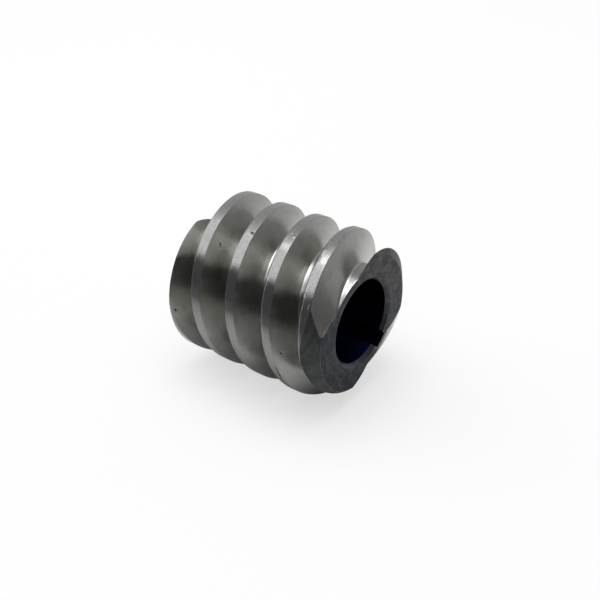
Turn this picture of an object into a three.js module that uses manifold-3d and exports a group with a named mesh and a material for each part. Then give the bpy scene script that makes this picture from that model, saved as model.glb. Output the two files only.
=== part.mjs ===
// Two-start right-hand shell worm: one steel piece that slides on a keyed shaft
// and drives a worm wheel. Millimetres, the bore along X with the front face at +X,
// +Z up, origin on the bore's axis at mid-length. Angles about the axis are counted
// from +Z by the right-hand rule about +X.

import * as THREE from 'three';
import { mergeVertices } from 'three/addons/utils/BufferGeometryUtils.js';
import Module from 'manifold-3d';

// Driving dimensions.
const MODULE = 4;
const STARTS = 2;
const LENGTH = 54;
const TIP_RADIUS = 25;
const TOOTH_DEPTH = 2.25 * MODULE;
const CREST_WIDTH = 3.2;
const ROOT_WIDTH = 3.1;
const CREST_ANGLE_AT_FRONT_FACE = THREE.MathUtils.degToRad(121.6);

const BORE_RADIUS = 12.5;
const BORE_CHAMFER = 1;
const END_BEVEL_DEPTH = 4.5;
const END_BEVEL_LENGTH = 3;

const KEYWAY_WIDTH = 5;
const KEYWAY_FLOOR_RADIUS = 15;
const KEYWAY_ANGLE = THREE.MathUtils.degToRad(-140.1);

// How finely round shapes are faceted.
const TWIST_STEP = THREE.MathUtils.degToRad(10);
const CREST_SEGMENTS = 4;
const FLANK_SEGMENTS = 4;
const ROOT_SEGMENTS = 4;
const LATHE_SEGMENTS = 72;

// Past an end by this much, a cutting tool leaves no skin of zero thickness.
const OVERRUN = 1.5;

const axialPitch = Math.PI * MODULE;
const lead = STARTS * axialPitch;
const rootRadius = TIP_RADIUS - TOOTH_DEPTH;
const flankRun = (axialPitch - CREST_WIDTH - ROOT_WIDTH) / 2;

const wasm = await Module();
wasm.setup();

function toSolid(geometry) {
  const bare = geometry.clone();
  bare.deleteAttribute('normal');
  bare.deleteAttribute('uv');
  const merged = mergeVertices(bare, 1e-4);
  const mesh = new wasm.Mesh({
    numProp: 3,
    vertProperties: new Float32Array(merged.attributes.position.array),
    triVerts: new Uint32Array(merged.index.array),
  });
  return new wasm.Manifold(mesh);
}

function toGeometry(solid) {
  const mesh = solid.getMesh();
  const geometry = new THREE.BufferGeometry();
  geometry.setAttribute('position', new THREE.BufferAttribute(mesh.vertProperties, 3));
  geometry.setIndex(new THREE.BufferAttribute(mesh.triVerts, 1));
  geometry.computeVertexNormals();
  return geometry;
}

// One tooth's outline across the axis, as [angle from the crest's middle, radius].
// A stretch of w millimetres along the axis covers 2 pi w / lead of a turn, so the
// straight flanks of the axial section become spiral arms with a linear radius.
function toothOutline() {
  const turn = (axialLength) => (2 * Math.PI * axialLength) / lead;
  const crestEnd = turn(CREST_WIDTH / 2);
  const rootStart = crestEnd + turn(flankRun);
  const rootEnd = turn(axialPitch) - rootStart;
  const nextCrest = turn(axialPitch) - crestEnd;
  const stretches = [
    [-crestEnd, crestEnd, TIP_RADIUS, TIP_RADIUS, CREST_SEGMENTS],
    [crestEnd, rootStart, TIP_RADIUS, rootRadius, FLANK_SEGMENTS],
    [rootStart, rootEnd, rootRadius, rootRadius, ROOT_SEGMENTS],
    [rootEnd, nextCrest, rootRadius, TIP_RADIUS, FLANK_SEGMENTS],
  ];
  const outline = [];
  for (const [startAngle, endAngle, startRadius, endRadius, segments] of stretches) {
    for (let i = 0; i < segments; i += 1) {
      const t = i / segments;
      const angle = THREE.MathUtils.lerp(startAngle, endAngle, t);
      outline.push([angle, THREE.MathUtils.lerp(startRadius, endRadius, t)]);
    }
  }
  return outline;
}

// The thread at full depth: the section across the axis, extruded and twisted
// one turn for each lead, a little longer than the finished worm at both ends.
function threadedBar() {
  const section = new THREE.Shape();
  const outline = toothOutline();
  for (let start = 0; start < STARTS; start += 1) {
    outline.forEach(([angle, radius], i) => {
      const turned = angle + (2 * Math.PI * start) / STARTS;
      const x = radius * Math.cos(turned);
      const y = radius * Math.sin(turned);
      if (start === 0 && i === 0) {
        section.moveTo(x, y);
      } else {
        section.lineTo(x, y);
      }
    });
  }
  section.closePath();

  const depth = LENGTH + 2 * OVERRUN;
  const steps = Math.ceil((2 * Math.PI * depth) / lead / TWIST_STEP);
  const geometry = new THREE.ExtrudeGeometry(section, { depth, steps, bevelEnabled: false });
  geometry.translate(0, 0, -depth / 2);

  // Half a turn more, because the quarter turn onto +X puts the section's +X at -Z.
  const phaseAtMiddle = CREST_ANGLE_AT_FRONT_FACE - (Math.PI * LENGTH) / lead + Math.PI;
  const position = geometry.attributes.position;
  const point = new THREE.Vector3();
  const axis = new THREE.Vector3(0, 0, 1);
  for (let i = 0; i < position.count; i += 1) {
    point.fromBufferAttribute(position, i);
    point.applyAxisAngle(axis, phaseAtMiddle + (2 * Math.PI * point.z) / lead);
    position.setXYZ(i, point.x, point.y, point.z);
  }
  geometry.rotateY(Math.PI / 2);
  return geometry;
}

// The turned blank: bore with chamfered mouths, flat end faces, and an end bevel
// that carries on outside the thread's tips.
function turnedBlank() {
  const half = LENGTH / 2;
  const faceRadius = TIP_RADIUS - END_BEVEL_DEPTH;
  const outerRadius = TIP_RADIUS + OVERRUN;
  const bevelEnd = half - (END_BEVEL_LENGTH * (outerRadius - faceRadius)) / END_BEVEL_DEPTH;
  const profile = [
    [BORE_RADIUS, -half + BORE_CHAMFER],
    [BORE_RADIUS + BORE_CHAMFER, -half],
    [faceRadius, -half],
    [outerRadius, -bevelEnd],
    [outerRadius, bevelEnd],
    [faceRadius, half],
    [BORE_RADIUS + BORE_CHAMFER, half],
    [BORE_RADIUS, half - BORE_CHAMFER],
    [BORE_RADIUS, -half + BORE_CHAMFER],
  ];
  const points = profile.map(([radius, along]) => new THREE.Vector2(radius, along));
  const geometry = new THREE.LatheGeometry(points, LATHE_SEGMENTS);
  geometry.rotateZ(-Math.PI / 2);
  return geometry;
}

// The keyway's broach: its outer face is the keyway's floor, its inner part lies in the bore.
function keywayBroach() {
  const height = KEYWAY_FLOOR_RADIUS - BORE_RADIUS / 2;
  const geometry = new THREE.BoxGeometry(LENGTH + 2 * OVERRUN, KEYWAY_WIDTH, height);
  geometry.translate(0, 0, KEYWAY_FLOOR_RADIUS - height / 2);
  geometry.rotateX(KEYWAY_ANGLE);
  return geometry;
}

const threaded = toSolid(threadedBar()).intersect(toSolid(turnedBlank()));
const finished = threaded.subtract(toSolid(keywayBroach()));

const steel = new THREE.MeshStandardMaterial({
  color: 0x9a9896,
  roughness: 0.35,
  metalness: 1,
});

const worm = new THREE.Mesh(toGeometry(finished), steel);
worm.name = 'worm';

const group = new THREE.Group();
group.add(worm);

export default group;
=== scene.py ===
import math
import random

import bmesh
import bpy
import numpy as np
from mathutils import Matrix, Vector


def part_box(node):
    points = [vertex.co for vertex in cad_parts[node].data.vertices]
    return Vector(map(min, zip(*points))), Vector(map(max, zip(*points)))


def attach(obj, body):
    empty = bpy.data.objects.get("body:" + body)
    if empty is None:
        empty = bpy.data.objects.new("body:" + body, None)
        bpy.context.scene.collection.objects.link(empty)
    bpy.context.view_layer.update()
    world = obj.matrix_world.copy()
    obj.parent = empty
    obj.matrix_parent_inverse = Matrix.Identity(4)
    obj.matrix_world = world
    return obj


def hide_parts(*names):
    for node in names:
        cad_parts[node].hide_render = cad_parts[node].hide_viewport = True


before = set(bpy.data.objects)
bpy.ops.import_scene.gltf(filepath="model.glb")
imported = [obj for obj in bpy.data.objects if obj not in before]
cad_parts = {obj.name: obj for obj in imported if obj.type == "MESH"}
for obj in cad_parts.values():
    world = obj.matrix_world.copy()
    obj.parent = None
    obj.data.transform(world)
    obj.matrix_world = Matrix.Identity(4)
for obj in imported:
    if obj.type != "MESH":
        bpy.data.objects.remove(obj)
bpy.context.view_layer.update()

# A two-start shell worm: one steel piece with its bore along X, its front face at +X, and +Z up.
# Angles round the axis are counted from +Z by the right-hand rule about +X.

# ---------------------------------------------------------------- driving dimensions, in metres
MM = 0.001
MODULE = 4 * MM
STARTS = 2
TOOTH_DEPTH = 2.25 * MODULE
CREST_WIDTH = 3.2 * MM
ROOT_WIDTH = 3.1 * MM
ROOT_FILLET = 0.45 * MM
CREST_EDGE = 0.10 * MM
CREST_ANGLE_AT_FRONT_FACE = math.radians(121.6)

low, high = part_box("worm")
LENGTH = high.x - low.x
TIP_RADIUS = 25.0 * MM
BORE_RADIUS = 12.5 * MM
BORE_CHAMFER = 1.0 * MM
END_BEVEL_DEPTH = 4.5 * MM
END_BEVEL_LENGTH = 3.0 * MM
EDGE_BREAK = 0.12 * MM

KEYWAY_WIDTH = 5.0 * MM
KEYWAY_FLOOR_RADIUS = 15.0 * MM
KEYWAY_CORNER = 0.2 * MM
KEYWAY_ANGLE = math.radians(-140.1)

PITCH = math.pi * MODULE
LEAD = STARTS * PITCH
ROOT_RADIUS = TIP_RADIUS - TOOTH_DEPTH
FACE_RADIUS = TIP_RADIUS - END_BEVEL_DEPTH
FLANK_RUN = (PITCH - CREST_WIDTH - ROOT_WIDTH) / 2
OVERRUN = 1.0 * MM

# the filed chamfer on the crests' back edge grows between two places, given as shares of the length,
# and is uneven by waves of (share of its width, radians per millimetre, phase)
CHAMFER_AT_BACK = 0.16 * MM
CHAMFER_AT_FRONT = 0.62 * MM
CHAMFER_GROWTH = (-0.15, 0.40)
CHAMFER_DROP = 0.7
CHAMFER_WAVES = [(0.16, 2.3, 0.0), (0.13, 5.9, 1.0), (0.09, 10.7, 0.0)]

# the thin end of the front tooth is dressed back by hand, so the front bevel is longer there
DRESSING_ANGLE = math.radians(118)
DRESSING_SPREAD = math.radians(68)
DRESSING_LENGTH = 1.8 * MM

# small knocks and burrs as (x, radius, angle in degrees), x and radius in millimetres
KNOCKS = [(-13.9, 21.2, 36.5), (-13.5, 21.2, 37.6), (22.5, 16.0, -21), (-4.1, 25, 23), (7.0, 25, 13.7),
          (8.3, 25, 16.5), (5.8, 22.0, -40), (-7.1, 23.2, -39), (15.3, 22.4, 97), (-20.0, 25, 95)]
KEYWAY_BURRS = [(26.9, 15.1, -131.0), (26.9, 14.7, -130.2), (26.9, 14.9, -149.8), (26.9, 14.4, -150.3),
                (26.8, 13.8, -151.0), (26.6, 13.2, -151.6)]
KNOCK_BALL = 0.40 * MM
KNOCK_DEPTH = 0.06 * MM
BURR_BALL = 0.20 * MM
BURR_HEIGHT = 0.07 * MM

# burrs strewn over the front crest between two angles in degrees, across shares of the crest's width
SCUFF_BURRS = 12
SCUFF_SEED = 4
SCUFF_ANGLES = (46, 57)
SCUFF_SPREAD = (-0.55, 0.45)

# a slit under a lifted burr, on the front edge of a crest, as (x in millimetres, angle in degrees)
SLIT_START = (14.65, 103)
SLIT_END = (15.25, 119)
SLIT_WIDTH = 0.70 * MM
SLIT_DEPTH = 0.45 * MM
SLIT_FULLNESS = 0.6
SLIT_STEPS = 14

# ---------------------------------------------------------------- how finely the mesh is made
TWIST_STEP = math.radians(2.5)
CREST_SEGMENTS = 4
CHAMFER_SEGMENTS = 2
FLANK_SEGMENTS = 12
ROOT_SEGMENTS = 2
LATHE_SEGMENTS = 288
BORE_SEGMENTS = 30
FACE_SEGMENTS = 8
BEVEL_SEGMENTS = 8
EDGE_SEGMENTS = 2
KEYWAY_CORNER_SEGMENTS = 3
BALL_SUBDIVISIONS = 3
BREAK_ABOVE_ANGLE = math.radians(31)
SHARP_ANGLE = math.radians(32)
CUT_WELD = 0.02 * MM
SLIVER = 0.01 * MM
BROKEN_WELD = 0.004 * MM
NORMAL_WEIGHT = 90
HAIR = 0.001 * MM

# ---------------------------------------------------------------- which face belongs to which region
# how far a face's centre may be from the surface that it belongs to
ROOT_SLACK = 0.15 * MM
CREST_SLACK = 0.7 * MM
END_SLACK = 0.12 * MM
KEYWAY_SLACK = 0.1 * MM
MOUTH_SLACK = 0.1 * MM
BORE_SLACK = 0.05 * MM
SLIT_SLACK = 0.04 * MM
BALL_SLACK = 0.02 * MM
# how much of a face's unit normal points outward, along the axis, or along a cone's own normal
LOOKS_OUT = 0.5
LOOKS_IN = -0.9
SLIT_LOOKS_OUT = 0.9
KEYWAY_LOOKS_OUT = 0.3
KEYWAY_LOOKS_ALONG = 0.3
MOUTH_LOOKS_ALONG = 0.3
FACE_EDGE_LOOKS_ALONG = 0.4
FACE_LOOKS_ALONG = 0.985
FLANK_MATCH = 0.985
BEVEL_MATCH = 0.982

# ---------------------------------------------------------------- finishes
# the order of the worm's material slots
REGIONS = ["crest", "flank", "root", "bevel", "face", "mouth", "bore", "keyway", "knock"]
TANGENT_TURN = 0.25

CREST_STEEL = dict(base=(0.40, 0.40, 0.40), roughness=0.13, anisotropy=0.90, lines_across="axis",
                   line_depth=0.004 * MM, pit_depth=0.016 * MM, speckle=0.90, pits_per_mm=2.8)
FLANK_STEEL = dict(base=(0.472, 0.472, 0.450), roughness=0.19, anisotropy=0.95, lines_across="radius",
                   line_depth=0.004 * MM, pit_depth=0.001 * MM, speckle=0.12, pits_per_mm=4.5)
ROOT_STEEL = dict(base=(0.44, 0.435, 0.43), roughness=0.16, anisotropy=0.9, lines_across="axis",
                  line_depth=0.006 * MM, pit_depth=0.006 * MM, speckle=0.3, pits_per_mm=3.0)
BEVEL_OXIDE = dict(cool=(0.080, 0.087, 0.088), warm=(0.092, 0.094, 0.090), roughness=0.42, mottle=0.5)
FACE_OXIDE = dict(cool=(0.039, 0.050, 0.066), warm=(0.086, 0.078, 0.072), roughness=0.36, mottle=0.9)
MOUTH_OXIDE = dict(cool=(0.07, 0.078, 0.090), warm=(0.11, 0.10, 0.09), roughness=0.33, mottle=0.6)
BORE_OXIDE = dict(black=(0.014, 0.018, 0.055), blue=(0.022, 0.042, 0.21))
# the keyway: the bore's dark oxide with painted shade, darker and with hardly any of the bore's blue
KEYWAY_OXIDE_AND_PAINTED_SHADE = dict(black=(0.012, 0.013, 0.026), blue=(0.014, 0.016, 0.04))
GRAZING_TINT = (0.16, 0.17, 0.22)
# painted shade for the knocks and the slit: a dark tone mottled towards a less dark one
PAINTED_SHADE_DARK = (0.015, 0.014, 0.013)
PAINTED_SHADE_PALE = (0.055, 0.052, 0.048)

# how close the lines and rings lie, and how quickly they change round the axis
LINES_PER_MM = 2.2
LINES_ROUND = 1.2
RINGS_PER_MM = 3.4
RINGS_ROUND = 1.1
RING_DEPTH = 0.014 * MM
BLOT_DEPTH = 0.02 * MM
BORE_LINES_ROUND = 12.0
BORE_LINES_PER_MM = 0.04
BORE_LINE_DEPTH = 0.003 * MM

# the noise values between which a mark fades in
CLOUD_EDGE = (0.3, 0.7)
STAIN_EDGE = (0.52, 0.75)
GRAIN_EDGE = (0.35, 0.7)
SPECK_EDGE = (0.52, 0.72)
DARK_BLOT_EDGE = (0.40, 0.62)
PALE_BLOT_EDGE = (0.52, 0.72)
RING_EDGE = (0.45, 0.75)
SCALE_SPECK_EDGE = (0.60, 0.76)

# where the skin turns warm, by a sum of height, distance from the viewer's side and noise,
# and where the bore turns blue, by the direction's height and by x in millimetres
WARM_EDGE = (1.2, 2.1)
BLUE_HEIGHTS = (0.0, -0.65)
BLUE_PLACES = (2.0, 24.0)

# ---------------------------------------------------------------- camera, floor and light
CAMERA_SENSOR = 36
CAMERA_LENS = 57.75
CAMERA_CLIP = (0.01, 20)
CAMERA_PLACE = (0.1506, -0.1883, 0.1494)
CAMERA_AZIMUTH = math.radians(37.779)
CAMERA_ELEVATION = math.radians(32.223)
CAMERA_ROLL = math.radians(-0.938)

FLOOR_HALF_WIDTH = 3.0
FLOOR_CELLS = 8
FLOOR_SEEN_TONES = (0.33, 0.36)
FLOOR_SEEN_GLOW = 0.62
# in the metal the floor has other tones, each pair for the camera's side and behind the worm: painted light
# and shade, lighter behind the worm and darker on the camera's side and far off, and a painted glow of
# light round a place just behind it; distances are metres from the bore's middle or that place
FLOOR_NEAR_TONES = (0.62, 0.74)
FLOOR_FAR_TONES = (0.14, 0.50)
FLOOR_FADE = (0.04, 0.20)
FLOOR_TURN_TO_BACK = (-0.03, 0.05)
FLOOR_GLOW_CENTRE = (-0.012, 0.034, 0)
FLOOR_GLOW_RADII = (0.012, 0.055)
FLOOR_GLOW_STRENGTHS = (1.5, 0.12)
TOWARDS_BACK_WALL = (-0.57, 0.82, 0)

# how bright the room is in the metal: walls by bearing in degrees from +Y towards +X, where they are
# lit, a dark side, and a ceiling; each edge is soft between two values
WALL_TONES = [(-180, 1.30), (-82, 1.30), (-75, 0.58), (20, 0.54), (45, 0.36), (75, 0.12), (180, 0.11)]
DARK_TONE = 0.11
CEILING_TONE = 1.3
ROOM_SEEN_TONE = 0.9
WINDOW_SIDE = (-0.51, 0.52, 0.68)
WINDOW_EDGE = (0.34, 0.44)
BACK_WALL_EDGE = (-0.05, 0.08)
CEILING_EDGE = (0.70, 0.94)

LIGHT_PLACE = (-0.1, 0.1, 1.0)
LIGHT_SIZE = 0.7
LIGHT_POWER = 3.8


# ---------------------------------------------------------------- mesh helpers
def new_object(name, data):
    obj = bpy.data.objects.new(name, data)
    bpy.context.scene.collection.objects.link(obj)
    return obj


def mesh_object(name, vertices, faces):
    mesh = bpy.data.meshes.new(name)
    mesh.from_pydata([tuple(v) for v in vertices], [], [tuple(f) for f in faces])
    mesh.validate()
    return new_object(name, mesh)


def bmesh_object(name, bm):
    mesh = bpy.data.meshes.new(name)
    bm.to_mesh(mesh)
    bm.free()
    return new_object(name, mesh)


def rounded(corners, arc_segments=3):
    """A polyline with rounded corners. Each corner is (x, y, radius, steps of the stretch before it)."""
    points = [np.array(c[:2], float) for c in corners]
    out = [points[0]]
    for i in range(1, len(points)):
        radius, steps = corners[i][2:]
        arc = [points[i]]
        if radius:
            to_last = points[i - 1] - points[i]
            to_next = points[i + 1] - points[i]
            to_last /= np.linalg.norm(to_last)
            to_next /= np.linalg.norm(to_next)
            half = math.acos(to_last @ to_next) / 2
            bisector = (to_last + to_next) / np.linalg.norm(to_last + to_next)
            centre = points[i] + bisector * radius / math.sin(half)
            first = points[i] + to_last * radius / math.tan(half) - centre
            last = points[i] + to_next * radius / math.tan(half) - centre
            turn = math.atan2(first[0] * last[1] - first[1] * last[0], first @ last)
            angles = np.linspace(0, turn, arc_segments + 1)
            arc = [centre + (first[0] * math.cos(a) - first[1] * math.sin(a),
                             first[0] * math.sin(a) + first[1] * math.cos(a)) for a in angles]
        start = out[-1]
        out += [start + (arc[0] - start) * k / steps for k in range(1, steps)]
        out += arc
    return np.array(out)


def smooth_step(value, start, end):
    t = min(max((value - start) / (end - start), 0), 1)
    return t * t * (3 - 2 * t)


def round_the_axis(x, radius, angle):
    """Points as rows of (x, y, z)."""
    return np.stack([x, -radius * math.sin(angle), radius * math.cos(angle)], 1)


def at(x, radius, degrees):
    """The place at an angle round the axis, from millimetres."""
    angle = math.radians(degrees)
    return Vector((x, -radius * math.sin(angle), radius * math.cos(angle))) * MM


# ---------------------------------------------------------------- thread, blank and keyway
def crest_chamfer(x):
    """How wide the filed chamfer on the crest's back edge is: uneven, and wider towards the front."""
    grown = smooth_step(x, CHAMFER_GROWTH[0] * LENGTH, CHAMFER_GROWTH[1] * LENGTH)
    width = CHAMFER_AT_BACK + (CHAMFER_AT_FRONT - CHAMFER_AT_BACK) * grown
    waves = (share * math.sin(rate * (x / MM) + phase) for share, rate, phase in CHAMFER_WAVES)
    return width * sum(waves, 1)


def tooth_profile(x):
    """One tooth in the axial plane, back to front, as (distance from the crest's middle, radius)."""
    slope = FLANK_RUN / TOOTH_DEPTH
    chamfer = crest_chamfer(x)
    drop = CHAMFER_DROP * chamfer
    return rounded([
        (-PITCH / 2, ROOT_RADIUS, 0, 1),
        (-PITCH / 2 + ROOT_WIDTH / 2, ROOT_RADIUS, ROOT_FILLET, ROOT_SEGMENTS),
        (-CREST_WIDTH / 2 - drop * slope, TIP_RADIUS - drop, CREST_EDGE / 2, FLANK_SEGMENTS),
        (-CREST_WIDTH / 2 + chamfer, TIP_RADIUS, CREST_EDGE / 2, CHAMFER_SEGMENTS),
        (CREST_WIDTH / 2, TIP_RADIUS, CREST_EDGE, CREST_SEGMENTS),
        (PITCH / 2 - ROOT_WIDTH / 2, ROOT_RADIUS, ROOT_FILLET, FLANK_SEGMENTS),
        (PITCH / 2, ROOT_RADIUS, 0, ROOT_SEGMENTS),
    ])


def swept_profile(x):
    """The profiles of all starts side by side, one lead wide, without the last point."""
    profiles = []
    for start in range(STARTS):
        offset = (start - (STARTS - 1) / 2) * PITCH
        profiles.append(tooth_profile(x + offset)[:-1] + (offset, 0))
    return np.concatenate(profiles)


def threaded_bar():
    """The thread at full depth: the axial profile swept along its helix, past both ends.

    The profile is one lead wide, so its front edge meets its own back edge one turn later.
    A fan to a point on the axis closes each end, outside the finished worm.
    """
    per_turn = round(2 * math.pi / TWIST_STEP)
    half_rows = math.ceil((LENGTH / 2 + PITCH + OVERRUN) / LEAD * per_turn)
    last_row = 2 * half_rows
    middle_angle = CREST_ANGLE_AT_FRONT_FACE - 2 * math.pi * (LENGTH / 2 + PITCH / 2) / LEAD
    rows = []
    for j in range(last_row + 1):
        turned = (j - half_rows) * TWIST_STEP
        x = LEAD * turned / (2 * math.pi)
        profile = swept_profile(x)
        rows.append(round_the_axis(x + profile[:, 0], profile[:, 1], middle_angle + turned))
    columns = len(rows[0])
    vertices = np.concatenate(rows + [[[-LENGTH - LEAD, 0, 0], [LENGTH + LEAD, 0, 0]]])
    back_apex = len(vertices) - 2
    front_apex = len(vertices) - 1

    def index(j, i):
        return j * columns + i if i < columns else (j + per_turn) * columns

    faces = []
    for j in range(last_row):
        for i in range(columns if j + 1 + per_turn <= last_row else columns - 1):
            a, b, c, d = index(j, i), index(j, i + 1), index(j + 1, i + 1), index(j + 1, i)
            faces.append((a, d, c))
            faces.append((a, c, b))
    back_loop = [index(j, 0) for j in range(per_turn, -1, -1)]
    back_loop += [index(0, i) for i in range(1, columns + 1)]
    front_loop = [index(j, columns - 1) for j in range(last_row - per_turn, last_row)]
    front_loop += [index(last_row, i) for i in range(columns - 1, -1, -1)]
    front_loop.append(front_loop[0])
    faces += [(a, b, back_apex) for a, b in zip(back_loop[:-1], back_loop[1:])]
    faces += [(a, b, front_apex) for a, b in zip(front_loop[:-1], front_loop[1:])]
    return mesh_object("threaded_bar", vertices, faces)


def half_outline(bevel_length):
    """The blank's outline from the bore's middle to the tips' middle, over one end."""
    half = LENGTH / 2
    outer = TIP_RADIUS + OVERRUN
    bevel_end = half - bevel_length * (outer - FACE_RADIUS) / END_BEVEL_DEPTH
    return rounded([
        (BORE_RADIUS, 0, 0, 1),
        (BORE_RADIUS, half - BORE_CHAMFER, EDGE_BREAK, BORE_SEGMENTS),
        (BORE_RADIUS + BORE_CHAMFER, half, EDGE_BREAK, CHAMFER_SEGMENTS),
        (FACE_RADIUS, half, EDGE_BREAK, FACE_SEGMENTS),
        (outer, bevel_end, 0, BEVEL_SEGMENTS),
        (outer, 0, 0, 1),
    ])


def turned_outline(front_bevel_length):
    """The blank's closed outline as (radius, x): bore, mouths, faces and end bevels."""
    back = half_outline(END_BEVEL_LENGTH)[::-1] * np.array([1, -1])
    return np.concatenate([half_outline(front_bevel_length), back[1:-1]])


def dressed_length(angle):
    """How long the front bevel is at an angle, or at an array of angles."""
    away = np.abs((angle - DRESSING_ANGLE + math.pi) % (2 * math.pi) - math.pi) / DRESSING_SPREAD
    return END_BEVEL_LENGTH + DRESSING_LENGTH * (0.5 + 0.5 * np.cos(math.pi * np.minimum(away, 1)))


def turned_blank():
    """A closed ring of revolution about X, with its front bevel dressed unevenly."""
    rings = []
    for angle in np.linspace(0, 2 * math.pi, LATHE_SEGMENTS, endpoint=False):
        radius, x = turned_outline(dressed_length(angle)).T
        rings.append(round_the_axis(x, radius, angle))
    count = len(rings[0])
    faces = []
    for j in range(LATHE_SEGMENTS):
        for i in range(count):
            a = j * count + i
            b = j * count + (i + 1) % count
            n = (j + 1) % LATHE_SEGMENTS
            faces.append((a, b, n * count + (i + 1) % count, n * count + i))
    return mesh_object("turned_blank", np.concatenate(rings), faces)


def keyway_cutter():
    """A bar with two rounded edges on the keyway's floor. Its inner part lies in the bore."""
    height = KEYWAY_FLOOR_RADIUS - BORE_RADIUS / 2
    bm = bmesh.new()
    bmesh.ops.create_cube(bm, size=1)
    bmesh.ops.scale(bm, vec=(LENGTH + 2 * OVERRUN, KEYWAY_WIDTH, height), verts=bm.verts)
    bmesh.ops.translate(bm, vec=(0, 0, KEYWAY_FLOOR_RADIUS - height / 2), verts=bm.verts)
    floor_edges = [e for e in bm.edges if all(v.co.z > KEYWAY_FLOOR_RADIUS - HAIR for v in e.verts)
                   and abs(e.verts[0].co.x - e.verts[1].co.x) > LENGTH / 2]
    bmesh.ops.bevel(bm, geom=floor_edges, offset=KEYWAY_CORNER, segments=KEYWAY_CORNER_SEGMENTS,
                    profile=0.5, affect="EDGES")
    bmesh.ops.rotate(bm, matrix=Matrix.Rotation(KEYWAY_ANGLE, 3, "X"), verts=bm.verts)
    bmesh.ops.triangulate(bm, faces=bm.faces)
    return bmesh_object("keyway", bm)


# ---------------------------------------------------------------- cutting, joining and edges
def apply_modifiers(obj):
    graph = bpy.context.evaluated_depsgraph_get()
    mesh = bpy.data.meshes.new_from_object(obj.evaluated_get(graph))
    obj.modifiers.clear()
    obj.data = mesh


def combine(obj, other, operation):
    modifier = obj.modifiers.new(operation, "BOOLEAN")
    modifier.object = other
    modifier.operation = operation
    modifier.solver = "MANIFOLD"
    apply_modifiers(obj)
    bpy.data.objects.remove(other)


def broken_edges(obj):
    """Takes the knife edges off, where the end bevels and faces cut the thread."""
    bm = bmesh.new()
    bm.from_mesh(obj.data)
    bmesh.ops.remove_doubles(bm, verts=bm.verts, dist=CUT_WELD)
    bmesh.ops.dissolve_degenerate(bm, edges=bm.edges, dist=SLIVER)
    sharp = [e for e in bm.edges if e.is_manifold and e.calc_face_angle(0) > BREAK_ABOVE_ANGLE]
    bmesh.ops.bevel(bm, geom=sharp, offset=EDGE_BREAK, segments=EDGE_SEGMENTS, profile=0.5,
                    affect="EDGES", clamp_overlap=False, loop_slide=False)
    for v in bm.verts:
        v.co.x = min(max(v.co.x, -LENGTH / 2), LENGTH / 2)
    bmesh.ops.remove_doubles(bm, verts=bm.verts, dist=BROKEN_WELD)
    bm.to_mesh(obj.data)
    bm.free()


def smooth_shading(obj):
    """Smooth where the surface is, with normals that follow the large faces."""
    obj.data.shade_smooth()
    obj.data.set_sharp_from_angle(angle=SHARP_ANGLE)
    weighted = obj.modifiers.new("weighted", "WEIGHTED_NORMAL")
    weighted.keep_sharp = True
    weighted.weight = NORMAL_WEIGHT
    apply_modifiers(obj)


# ---------------------------------------------------------------- knocks, burrs and the slit
def ball_centres(obj, places, standing_off):
    """Where balls stand for their middles to be a distance off the nearest points of the surface."""
    centres = []
    for place in places:
        point, normal = obj.closest_point_on_mesh(at(*place))[1:3]
        centres.append(point + normal * standing_off)
    return centres


def scuff_places():
    """Burrs strewn over the front crest, where its thin end begins."""
    draw = random.Random(SCUFF_SEED)
    places = []
    for _ in range(SCUFF_BURRS):
        degrees = draw.uniform(*SCUFF_ANGLES)
        past_face = math.radians(degrees) - CREST_ANGLE_AT_FRONT_FACE
        crest_middle = LENGTH / 2 + LEAD * past_face / (2 * math.pi)
        x = crest_middle + draw.uniform(*SCUFF_SPREAD) * CREST_WIDTH
        places.append((x / MM, TIP_RADIUS / MM, degrees))
    return places


def balls(centres, radius):
    bm = bmesh.new()
    for centre in centres:
        bmesh.ops.create_icosphere(bm, subdivisions=BALL_SUBDIVISIONS, radius=radius,
                                   matrix=Matrix.Translation(centre))
    return bmesh_object("balls", bm)


def slit_cutter():
    """A long sliver of diamond section, pointed at both ends, half sunk in the crest."""
    tip = TIP_RADIUS / MM
    vertices = [at(SLIT_START[0], tip, SLIT_START[1])]
    for k in range(1, SLIT_STEPS):
        t = k / SLIT_STEPS
        x = SLIT_START[0] + (SLIT_END[0] - SLIT_START[0]) * t
        degrees = SLIT_START[1] + (SLIT_END[1] - SLIT_START[1]) * t
        full = math.sin(math.pi * t) ** SLIT_FULLNESS
        half = SLIT_WIDTH / MM / 2 * full
        depth = SLIT_DEPTH / MM * full
        for across, up in ((-half, 0), (0, -depth), (half, 0), (0, depth)):
            vertices.append(at(x + across, tip + up, degrees))
    vertices.append(at(SLIT_END[0], tip, SLIT_END[1]))
    faces = []
    last = len(vertices) - 1
    for i in range(4):
        n = (i + 1) % 4
        faces.append((0, 1 + i, 1 + n))
        faces.append((last, last - 4 + n, last - 4 + i))
        for k in range(SLIT_STEPS - 2):
            a = 1 + 4 * k
            faces.append((a + i, a + 4 + i, a + 4 + n, a + n))
    return mesh_object("slit", vertices, faces)


# ---------------------------------------------------------------- material helpers
def rgb(r, g, b):
    return (r, g, b, 1.0)


def grey(tone):
    return rgb(tone, tone, tone)


def darker(colour, factor, warmth=0.0):
    """The colour times a factor, which may be above 1, with more red and less blue for warmth."""
    red, green, blue = (v * factor for v in colour[:3])
    return rgb(red * (1 + warmth), green, blue * (1 - warmth))


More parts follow.
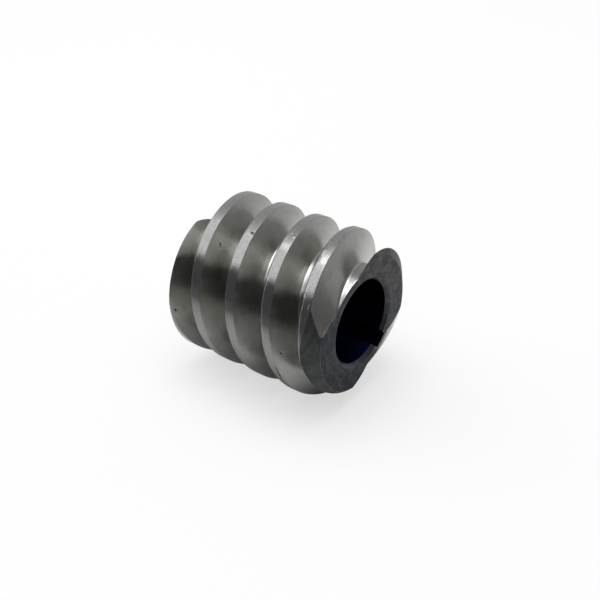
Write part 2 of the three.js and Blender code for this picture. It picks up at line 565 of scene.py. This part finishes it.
class Nodes:
    """A short way to write a node tree."""

    def __init__(self, tree):
        self.tree = tree

    def add(self, kind, **settings):
        node = self.tree.nodes.new(kind)
        for key, value in settings.items():
            setattr(node, key, value)
        return node

    def link(self, source, target):
        if isinstance(source, (int, float, tuple)):
            target.default_value = source
        else:
            self.tree.links.new(source, target)

    def math(self, operation, a, b=0.0, c=0.0):
        node = self.add("ShaderNodeMath", operation=operation)
        for value, socket in zip((a, b, c), node.inputs):
            self.link(value, socket)
        return node.outputs[0]

    def less(self, value):
        """One minus the value."""
        return self.math("SUBTRACT", 1.0, value)

    def measure(self, operation, vector, other):
        """A single number from two vectors, such as their distance or dot product."""
        node = self.add("ShaderNodeVectorMath", operation=operation)
        self.link(vector, node.inputs[0])
        self.link(other, node.inputs[1])
        return node.outputs["Value"]

    def vector(self, x, y, z):
        node = self.add("ShaderNodeCombineXYZ")
        for value, socket in zip((x, y, z), node.inputs):
            self.link(value, socket)
        return node.outputs[0]

    def parts(self, vector):
        node = self.add("ShaderNodeSeparateXYZ")
        self.link(vector, node.inputs[0])
        return node.outputs

    def noise(self, vector, scale, detail=2.0, roughness=0.5, distortion=0.0):
        node = self.add("ShaderNodeTexNoise")
        self.link(vector, node.inputs["Vector"])
        node.inputs["Scale"].default_value = scale
        node.inputs["Detail"].default_value = detail
        node.inputs["Roughness"].default_value = roughness
        node.inputs["Distortion"].default_value = distortion
        return node.outputs["Fac"]

    def between(self, value, low, high, at_low=0.0, at_high=1.0):
        """A soft step from one output to another, as the value goes from low to high."""
        node = self.add("ShaderNodeMapRange", interpolation_type="SMOOTHSTEP")
        self.link(value, node.inputs["Value"])
        for key, number in (("From Min", low), ("From Max", high), ("To Min", at_low), ("To Max", at_high)):
            node.inputs[key].default_value = number
        return node.outputs[0]

    def mix(self, factor, a, b):
        node = self.add("ShaderNodeMix", data_type="RGBA")
        self.link(factor, node.inputs["Factor"])
        self.link(a, node.inputs["A"])
        self.link(b, node.inputs["B"])
        return node.outputs["Result"]

    def seen_by_camera(self):
        return self.add("ShaderNodeLightPath").outputs["Is Camera Ray"]


class Surface(Nodes):
    """A material on the Principled shader."""

    def __init__(self, name):
        self.material = bpy.data.materials.new(name)
        self.material.use_nodes = True
        super().__init__(self.material.node_tree)
        self.shader = self.tree.nodes["Principled BSDF"]

    def set(self, socket, source):
        self.link(source, self.shader.inputs[socket])

    def bump(self, height, distance, normal=None):
        node = self.add("ShaderNodeBump")
        self.link(height, node.inputs["Height"])
        node.inputs["Distance"].default_value = distance
        node.inputs["Strength"].default_value = 1.0
        if normal is not None:
            self.link(normal, node.inputs["Normal"])
        return node.outputs["Normal"]

    def object_space(self):
        return self.add("ShaderNodeTexCoord").outputs["Object"]

    def cylindrical(self):
        """In millimetres: x, the radius, the unit direction round the axis (y, z), and the place."""
        here = self.parts(self.object_space())
        x, y, z = (self.math("MULTIPLY", here[i], 1 / MM) for i in range(3))
        squares = self.math("ADD", self.math("MULTIPLY", y, y), self.math("MULTIPLY", z, z))
        radius = self.math("SQRT", squares)
        cy = self.math("DIVIDE", y, radius)
        cz = self.math("DIVIDE", z, radius)
        return x, radius, cy, cz, self.vector(x, y, z)

    def gloss_round_the_axis(self, anisotropy):
        """Spreads the gloss across lines that run round the axis."""
        tangent = self.add("ShaderNodeTangent", direction_type="RADIAL", axis="X")
        self.set("Tangent", tangent.outputs[0])
        self.set("Anisotropic", anisotropy)
        self.set("Anisotropic Rotation", TANGENT_TURN)


# ---------------------------------------------------------------- materials
def ground_steel(name, base, roughness, anisotropy, lines_across, line_depth, pit_depth, speckle,
                 pits_per_mm):
    """Ground steel: fine lines round the axis, cloudy roughness, pits and a faint stain.

    lines_across says whether the lines lie side by side along the radius or along the axis.
    """
    n = Surface(name)
    x, radius, cy, cz, space = n.cylindrical()
    across = n.math("MULTIPLY", {"radius": radius, "axis": x}[lines_across], LINES_PER_MM)
    line_space = n.vector(n.math("MULTIPLY", cy, LINES_ROUND), n.math("MULTIPLY", cz, LINES_ROUND), across)
    grain = n.noise(line_space, scale=1.0, detail=4.0, roughness=0.65)
    fine = n.noise(line_space, scale=2.5, detail=2.0, roughness=0.6)
    clouds = n.noise(space, scale=0.16, detail=3.0, roughness=0.6)
    specks = n.noise(space, scale=pits_per_mm, detail=3.0, roughness=0.7)
    stain = n.between(n.noise(space, scale=0.22, detail=3.0, distortion=0.4), *STAIN_EDGE)

    colour = n.mix(n.math("MULTIPLY", stain, 0.5), rgb(*base), darker(base, 0.72, warmth=0.06))
    colour = n.mix(n.between(grain, *GRAIN_EDGE, at_high=0.3), colour, darker(base, 0.6))
    colour = n.mix(n.between(specks, *SPECK_EDGE, at_high=speckle), colour, darker(base, 0.35))
    n.set("Base Color", colour)
    cloudy = n.between(clouds, *CLOUD_EDGE, roughness * 0.75, roughness * 1.3)
    n.set("Roughness", n.math("ADD", cloudy, n.between(fine, *CLOUD_EDGE, -0.015, 0.03)))
    n.set("Metallic", 1.0)
    n.gloss_round_the_axis(anisotropy)
    n.set("Normal", n.bump(specks, pit_depth, n.bump(grain, line_depth)))
    return n.material


def scale_steel(name, cool, warm, roughness, mottle):
    """Heat-treated skin: cool dark oxide, warmer on the upper far side, mottled over turned rings."""
    n = Surface(name)
    x, radius, cy, cz, space = n.cylindrical()
    ring_space = n.vector(n.math("MULTIPLY", cy, RINGS_ROUND), n.math("MULTIPLY", cz, RINGS_ROUND),
                          n.math("MULTIPLY", n.math("ADD", radius, x), RINGS_PER_MM))
    rings = n.noise(ring_space, scale=1.0, detail=4.0, roughness=0.65)
    clouds = n.noise(space, scale=0.20, detail=3.0, roughness=0.6, distortion=0.8)
    blots = n.noise(space, scale=0.45, detail=4.0, roughness=0.62, distortion=0.9)
    specks = n.noise(space, scale=3.2, detail=3.0, roughness=0.75)
    far_side = n.math("ADD", n.math("MULTIPLY", cy, 0.60), n.math("MULTIPLY", cz, 0.80))
    warmth = n.between(n.math("ADD", far_side, n.math("MULTIPLY", clouds, 2.0)), *WARM_EDGE)

    colour = n.mix(warmth, rgb(*cool), rgb(*warm))
    colour = n.mix(n.between(blots, *DARK_BLOT_EDGE, 0.7 * mottle, 0.0), colour, darker(cool, 0.5))
    colour = n.mix(n.between(blots, *PALE_BLOT_EDGE, at_high=0.5 * mottle), colour, darker(warm, 1.6))
    colour = n.mix(n.between(rings, *RING_EDGE, at_high=0.5), colour, darker(warm, 1.7))
    colour = n.mix(n.between(specks, *SCALE_SPECK_EDGE, at_high=0.35), colour, darker(warm, 1.8))
    n.set("Base Color", colour)
    n.set("Roughness", n.between(blots, *CLOUD_EDGE, roughness + 0.10, roughness - 0.06))
    n.set("Metallic", 0.9)
    n.set("Normal", n.bump(blots, BLOT_DEPTH, n.bump(rings, RING_DEPTH)))
    return n.material


def bore_steel(name, black, blue):
    """Almost black steel, with a blue temper colour low at the front and lines along the axis."""
    n = Surface(name)
    x, _, cy, cz, space = n.cylindrical()
    line_space = n.vector(n.math("MULTIPLY", x, BORE_LINES_PER_MM),
                          n.math("MULTIPLY", cy, BORE_LINES_ROUND),
                          n.math("MULTIPLY", cz, BORE_LINES_ROUND))
    lines = n.noise(line_space, scale=2.2, detail=3.0, roughness=0.6)
    clouds = n.noise(space, scale=0.25, detail=3.0)
    low_down = n.between(n.math("ADD", cz, n.math("MULTIPLY", clouds, 0.7)), *BLUE_HEIGHTS)
    at_front = n.between(x, *BLUE_PLACES)
    n.set("Base Color", n.mix(n.math("MULTIPLY", low_down, at_front), rgb(*black), rgb(*blue)))
    n.set("Roughness", n.between(lines, *CLOUD_EDGE, 0.30, 0.40))
    n.set("Metallic", 1.0)
    n.set("Specular Tint", rgb(*GRAZING_TINT))
    n.set("Normal", n.bump(lines, BORE_LINE_DEPTH))
    return n.material


def knock_painted_shade(name):
    """Painted shade: a dark mottled colour for the knocks and the slit, standing in for the shade in these
    hollows.
    """
    n = Surface(name)
    space = n.cylindrical()[-1]
    n.set("Base Color", n.mix(n.noise(space, scale=3.0, detail=3.0), rgb(*PAINTED_SHADE_DARK), rgb(*PAINTED_SHADE_PALE)))
    n.set("Roughness", 0.6)
    return n.material


def region_materials():
    """One material for each of REGIONS, in the same order."""
    return [
        ground_steel("crest_ground", **CREST_STEEL),
        ground_steel("flank_ground", **FLANK_STEEL),
        ground_steel("root_cut", **ROOT_STEEL),
        scale_steel("bevel_oxide", **BEVEL_OXIDE),
        scale_steel("face_oxide", **FACE_OXIDE),
        scale_steel("mouth_oxide", **MOUTH_OXIDE),
        bore_steel("bore_oxide", **BORE_OXIDE),
        # the keyway's oxide carries painted shade
        bore_steel("keyway_oxide_and_painted_shade", **KEYWAY_OXIDE_AND_PAINTED_SHADE),
        # the knocks and the slit get painted shade
        knock_painted_shade("knock_painted_shade"),
    ]


# ---------------------------------------------------------------- the worm's regions
class Faces:
    """The worm's faces, measured round its axis, with a mask for each region."""

    def __init__(self, mesh):
        count = len(mesh.polygons)
        centre = np.empty(count * 3)
        normal = np.empty(count * 3)
        mesh.polygons.foreach_get("center", centre)
        mesh.polygons.foreach_get("normal", normal)
        self.centre = centre.reshape(-1, 3)
        self.normal = normal.reshape(-1, 3)
        self.x, y, z = self.centre.T
        self.radius = np.hypot(y, z)
        self.angle = np.arctan2(-y, z)
        self.to_end = LENGTH / 2 - np.abs(self.x)
        self.outward = (self.normal[:, 1] * y + self.normal[:, 2] * z) / self.radius
        self.axial = self.normal[:, 0] * np.sign(self.x)

    def leaning(self, run, rise):
        """How closely the normals match a cone that goes in by rise over a length of run."""
        return (self.outward * run + self.axial * rise) / np.hypot(run, rise)

    def root(self):
        return (self.outward > LOOKS_OUT) & (self.radius < ROOT_RADIUS + ROOT_SLACK)

    def crest(self):
        return (self.outward > LOOKS_OUT) & (self.radius > TIP_RADIUS - CREST_SLACK)

    def bevel(self):
        length = np.where(self.x > 0, dressed_length(self.angle), END_BEVEL_LENGTH)
        cone_radius = FACE_RADIUS + self.to_end * END_BEVEL_DEPTH / length
        on_cone = np.abs(self.radius - cone_radius) < END_SLACK
        return on_cone & (self.leaning(length, END_BEVEL_DEPTH) > BEVEL_MATCH)

    def face(self):
        """The flat end face and its rounded outer edge, without the flank next to it."""
        flat = self.axial > FACE_LOOKS_ALONG
        edge = np.abs(self.radius - FACE_RADIUS) < 2 * EDGE_BREAK
        edge &= (self.axial > FACE_EDGE_LOOKS_ALONG) & (self.outward > 0)
        edge &= self.leaning(FLANK_RUN, TOOTH_DEPTH) < FLANK_MATCH
        return (self.to_end < END_SLACK) & (flat | edge)

    def mouth(self):
        near_bore = self.radius < BORE_RADIUS + BORE_CHAMFER + MOUTH_SLACK
        return near_bore & (self.to_end < BORE_CHAMFER) & (self.axial > MOUTH_LOOKS_ALONG)

    def bore(self):
        return (self.radius < BORE_RADIUS + BORE_SLACK) & (self.outward < LOOKS_IN)

    def keyway(self):
        _, y, z = self.centre.T
        away = (-math.sin(KEYWAY_ANGLE), math.cos(KEYWAY_ANGLE))
        along = y * away[0] + z * away[1]
        across = np.abs(y * away[1] - z * away[0])
        inside = (along > 0) & (along < KEYWAY_FLOOR_RADIUS + KEYWAY_SLACK)
        inside &= across < KEYWAY_WIDTH / 2 + KEYWAY_SLACK
        inside &= np.abs(self.normal[:, 0]) < KEYWAY_LOOKS_ALONG
        return inside & (self.outward < KEYWAY_LOOKS_OUT)

    def slit(self):
        """The two walls of the slit, found by how deep they are at their distance from its middle."""
        t = (np.degrees(self.angle) - SLIT_START[1]) / (SLIT_END[1] - SLIT_START[1])
        middle = SLIT_START[0] + (SLIT_END[0] - SLIT_START[0]) * t
        across = np.abs(self.x / MM - middle) * MM
        full = np.sin(np.pi * np.clip(t, 0, 1)) ** SLIT_FULLNESS
        wall_radius = TIP_RADIUS - SLIT_DEPTH * (full - across / (SLIT_WIDTH / 2))
        on_wall = np.abs(self.radius - wall_radius) < SLIT_SLACK
        return (t > 0) & (t < 1) & on_wall & (self.outward < SLIT_LOOKS_OUT)

    def on_ball(self, centre, radius):
        off = np.abs(np.linalg.norm(self.centre - np.array(centre), axis=1) - radius)
        return off < BALL_SLACK


def assign_regions(obj, knocks):
    """Gives every face its material. A later region takes faces from an earlier one."""
    mesh = obj.data
    mesh.materials.clear()
    for material in region_materials():
        mesh.materials.append(material)
    faces = Faces(mesh)
    region = np.full(len(mesh.polygons), REGIONS.index("flank"))
    region[faces.root()] = REGIONS.index("root")
    region[faces.crest()] = REGIONS.index("crest")
    region[faces.bevel()] = REGIONS.index("bevel")
    region[faces.face()] = REGIONS.index("face")
    region[faces.mouth()] = REGIONS.index("mouth")
    region[faces.bore()] = REGIONS.index("bore")
    region[faces.keyway()] = REGIONS.index("keyway")
    # the slit's walls and the knocks take the painted shade
    region[faces.slit()] = REGIONS.index("knock")
    for centre in knocks:
        region[faces.on_ball(centre, KNOCK_BALL)] = REGIONS.index("knock")
    mesh.polygons.foreach_set("material_index", region.astype(np.int32))


# ---------------------------------------------------------------- camera, floor and room
def make_camera():
    data = bpy.data.cameras.new("camera")
    data.sensor_width = CAMERA_SENSOR
    data.lens = CAMERA_LENS
    data.clip_start, data.clip_end = CAMERA_CLIP
    camera = new_object("camera", data)
    level = math.cos(CAMERA_ELEVATION)
    back = Vector((math.sin(CAMERA_AZIMUTH) * level, -math.cos(CAMERA_AZIMUTH) * level,
                   math.sin(CAMERA_ELEVATION)))
    right = Vector((math.cos(CAMERA_AZIMUTH), math.sin(CAMERA_AZIMUTH), 0))
    up = back.cross(right)
    turned_right = right * math.cos(CAMERA_ROLL) + up * math.sin(CAMERA_ROLL)
    turned_up = up * math.cos(CAMERA_ROLL) - right * math.sin(CAMERA_ROLL)
    turned = Matrix((turned_right, turned_up, back)).transposed().to_4x4()
    camera.matrix_world = Matrix.Translation(CAMERA_PLACE) @ turned
    bpy.context.scene.camera = camera


def floor_paper():
    """Pale paper for the eye. In the metal it has painted light and shade: it fades with distance, is
    darker on the camera's side, and a painted glow lights a place just behind the worm.
    """
    n = Surface("floor_paper")
    here = n.object_space()
    seen = n.seen_by_camera()
    far = n.between(n.measure("DISTANCE", here, (0, 0, 0)), *FLOOR_FADE)
    # painted light and shade on the floor in the metal: lighter behind the worm, darker on the camera's
    # side and with distance
    back = n.between(n.measure("DOT_PRODUCT", here, TOWARDS_BACK_WALL), *FLOOR_TURN_TO_BACK)
    near_tone = n.mix(back, *(grey(tone) for tone in FLOOR_NEAR_TONES))
    far_tone = n.mix(back, *(grey(tone) for tone in FLOOR_FAR_TONES))
    seen_tone = n.mix(n.noise(here, scale=3.0, detail=3.0), *(grey(tone) for tone in FLOOR_SEEN_TONES))
    n.set("Base Color", n.mix(seen, n.mix(far, near_tone, far_tone), seen_tone))

    # painted light: the floor glows in the metal round a place just behind the worm, though no lamp lights
    # it there
    spot = n.measure("DISTANCE", here, FLOOR_GLOW_CENTRE)
    glow = n.between(spot, *FLOOR_GLOW_RADII, *FLOOR_GLOW_STRENGTHS)
    glow = n.math("MULTIPLY", glow, n.math("MULTIPLY", back, n.less(far)))
    unseen_glow = n.math("MULTIPLY", n.less(seen), glow)
    n.set("Emission Strength", n.math("ADD", n.math("MULTIPLY", seen, FLOOR_SEEN_GLOW), unseen_glow))
    n.set("Emission Color", grey(1))
    n.set("Roughness", 0.9)
    return n.material


def make_floor():
    bm = bmesh.new()
    bmesh.ops.create_grid(bm, x_segments=FLOOR_CELLS, y_segments=FLOOR_CELLS, size=FLOOR_HALF_WIDTH)
    bmesh.ops.translate(bm, vec=(0, 0, -TIP_RADIUS), verts=bm.verts)
    floor = bmesh_object("floor", bm)
    floor.data.materials.append(floor_paper())


def make_world():
    """A pale room for the eye, with a ceiling that is bright and walls that are dim in the metal."""
    world = bpy.data.worlds.new("studio")
    bpy.context.scene.world = world
    world.use_nodes = True
    n = Nodes(world.node_tree)
    direction = n.add("ShaderNodeTexCoord").outputs["Generated"]
    x, y, z = n.parts(direction)

    bearing = n.math("ARCTAN2", x, y)
    walls = n.add("ShaderNodeValToRGB")
    n.link(n.math("MULTIPLY_ADD", bearing, 1 / (2 * math.pi), 0.5), walls.inputs[0])
    elements = walls.color_ramp.elements
    while len(elements) < len(WALL_TONES):
        elements.new(0.5)
    for element, (degrees, tone) in zip(elements, WALL_TONES):
        element.position = (degrees + 180) / 360
        element.color = grey(tone)

    window = n.between(n.measure("DOT_PRODUCT", direction, WINDOW_SIDE), *WINDOW_EDGE)
    lit = n.math("MAXIMUM", window, n.between(y, *BACK_WALL_EDGE))
    around = n.mix(lit, grey(DARK_TONE), walls.outputs[0])
    room = n.mix(n.between(z, *CEILING_EDGE), around, grey(CEILING_TONE))
    shown = n.mix(n.seen_by_camera(), room, grey(ROOM_SEEN_TONE))
    n.link(shown, world.node_tree.nodes["Background"].inputs["Color"])


def make_light():
    """A square lamp high up behind the worm, aimed at it."""
    data = bpy.data.lights.new("ceiling", "AREA")
    data.shape = "SQUARE"
    data.size = LIGHT_SIZE
    data.energy = LIGHT_POWER
    light = new_object("ceiling", data)
    light.location = LIGHT_PLACE
    light.rotation_mode = "QUATERNION"
    light.rotation_quaternion = Vector(LIGHT_PLACE).to_track_quat("Z", "Y")


# ---------------------------------------------------------------- the build
bpy.context.scene.view_settings.view_transform = "Standard"
make_camera()

worm = threaded_bar()
worm.name = "worm_finished"
combine(worm, turned_blank(), "INTERSECT")
combine(worm, keyway_cutter(), "DIFFERENCE")
broken_edges(worm)
knocks = ball_centres(worm, KNOCKS, KNOCK_BALL - KNOCK_DEPTH)
burrs = ball_centres(worm, KEYWAY_BURRS + scuff_places(), BURR_HEIGHT - BURR_BALL)
combine(worm, balls(knocks, KNOCK_BALL), "DIFFERENCE")
combine(worm, balls(burrs, BURR_BALL), "UNION")
combine(worm, slit_cutter(), "DIFFERENCE")
smooth_shading(worm)
assign_regions(worm, knocks)
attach(worm, "root")
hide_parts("worm")

make_floor()
make_world()
make_light()
